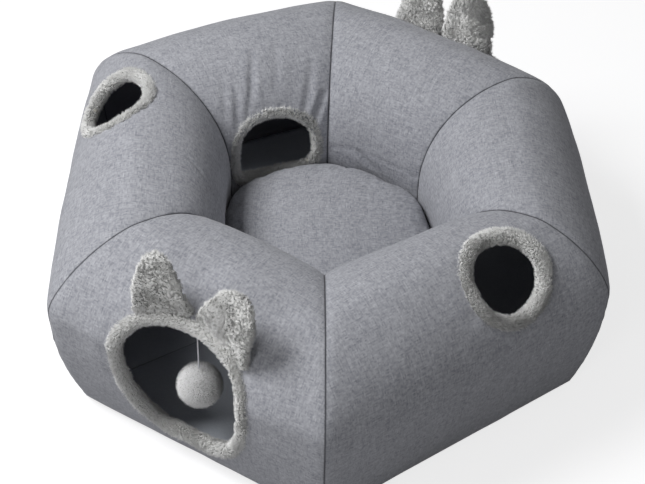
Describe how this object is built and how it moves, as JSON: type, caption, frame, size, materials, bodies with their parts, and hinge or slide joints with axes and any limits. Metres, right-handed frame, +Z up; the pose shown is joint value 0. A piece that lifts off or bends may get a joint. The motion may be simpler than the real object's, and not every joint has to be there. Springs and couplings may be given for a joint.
{
  "type": "donut cat tunnel",
  "caption": "Padded hexagonal ring tunnel for a cat, with plush-edged doors and peepholes, plush ears, a hanging pom-pom toy and a lift-out cushion in the middle.",
  "frame": {"origin": "middle of the underside of the ring, on the floor", "axes": "+Z up; -Y towards the corner that lies nearest in the picture; the longest distance between corners runs along Y"},
  "size_m": [0.7791, 0.909, 0.369],
  "materials": {
    "linen_cover": "heathered linen-look weave",
    "foam_padding": "sheet foam",
    "dark_lining": "brushed cloth",
    "base_cloth": "coarse cloth",
    "plush_pile": "short plush pile",
    "white_cord": "thin braided cord",
    "pompom_wool": "fluffy yarn",
    "fibre_filling": "loose fibre",
    "zip_tape": "woven tape"
  },
  "bodies": {
    "ring": {"base_panel": "base_cloth", "cover_front_right": "linen_cover", "cover_right": "linen_cover", "cover_back_right": "linen_cover", "cover_back_left": "linen_cover", "cover_left": "linen_cover", "cover_front_left": "linen_cover", "foam_front_right": "foam_padding", "foam_right": "foam_padding", "foam_back_right": "foam_padding", "foam_back_left": "foam_padding", "foam_left": "foam_padding", "foam_front_left": "foam_padding", "lining_front_right": "dark_lining", "lining_right": "dark_lining", "lining_back_right": "dark_lining", "lining_back_left": "dark_lining", "lining_left": "dark_lining", "lining_front_left": "dark_lining", "front_door_trim": "plush_pile", "rear_door_trim": "plush_pile", "inner_door_trim": "plush_pile", "left_peephole_trim": "plush_pile", "right_peephole_trim": "plush_pile", "front_door_ear_left": "plush_pile", "front_door_ear_right": "plush_pile", "rear_door_ear_left": "plush_pile", "rear_door_ear_right": "plush_pile"},
    "toy_knot": {"toy_knot": "white_cord"},
    "toy": {"toy_cord": "white_cord", "pompom": "pompom_wool"},
    "cushion": {"cushion_cover": "linen_cover", "cushion_filling": "fibre_filling", "cushion_zip": "zip_tape"}
  },
  "joints": [
    {"name": "toy_swing_in_out", "type": "hinge", "parent": "ring", "child": "toy_knot", "pos_m": [-0.17605, -0.3098, 0.2486], "axis": [0.8579, -0.5138, 0], "range_deg": [-60, 60]},
    {"name": "toy_swing_sideways", "type": "hinge", "parent": "toy_knot", "child": "toy", "pos_m": [-0.17605, -0.3098, 0.2486], "axis": [-0.5138, -0.8579, 0], "range_deg": [-30, 22]},
    {"name": "cushion_lift", "type": "slide", "parent": "ring", "child": "cushion", "axis": [0, 0, 1], "range_m": [0, 0.32]}
  ]
}
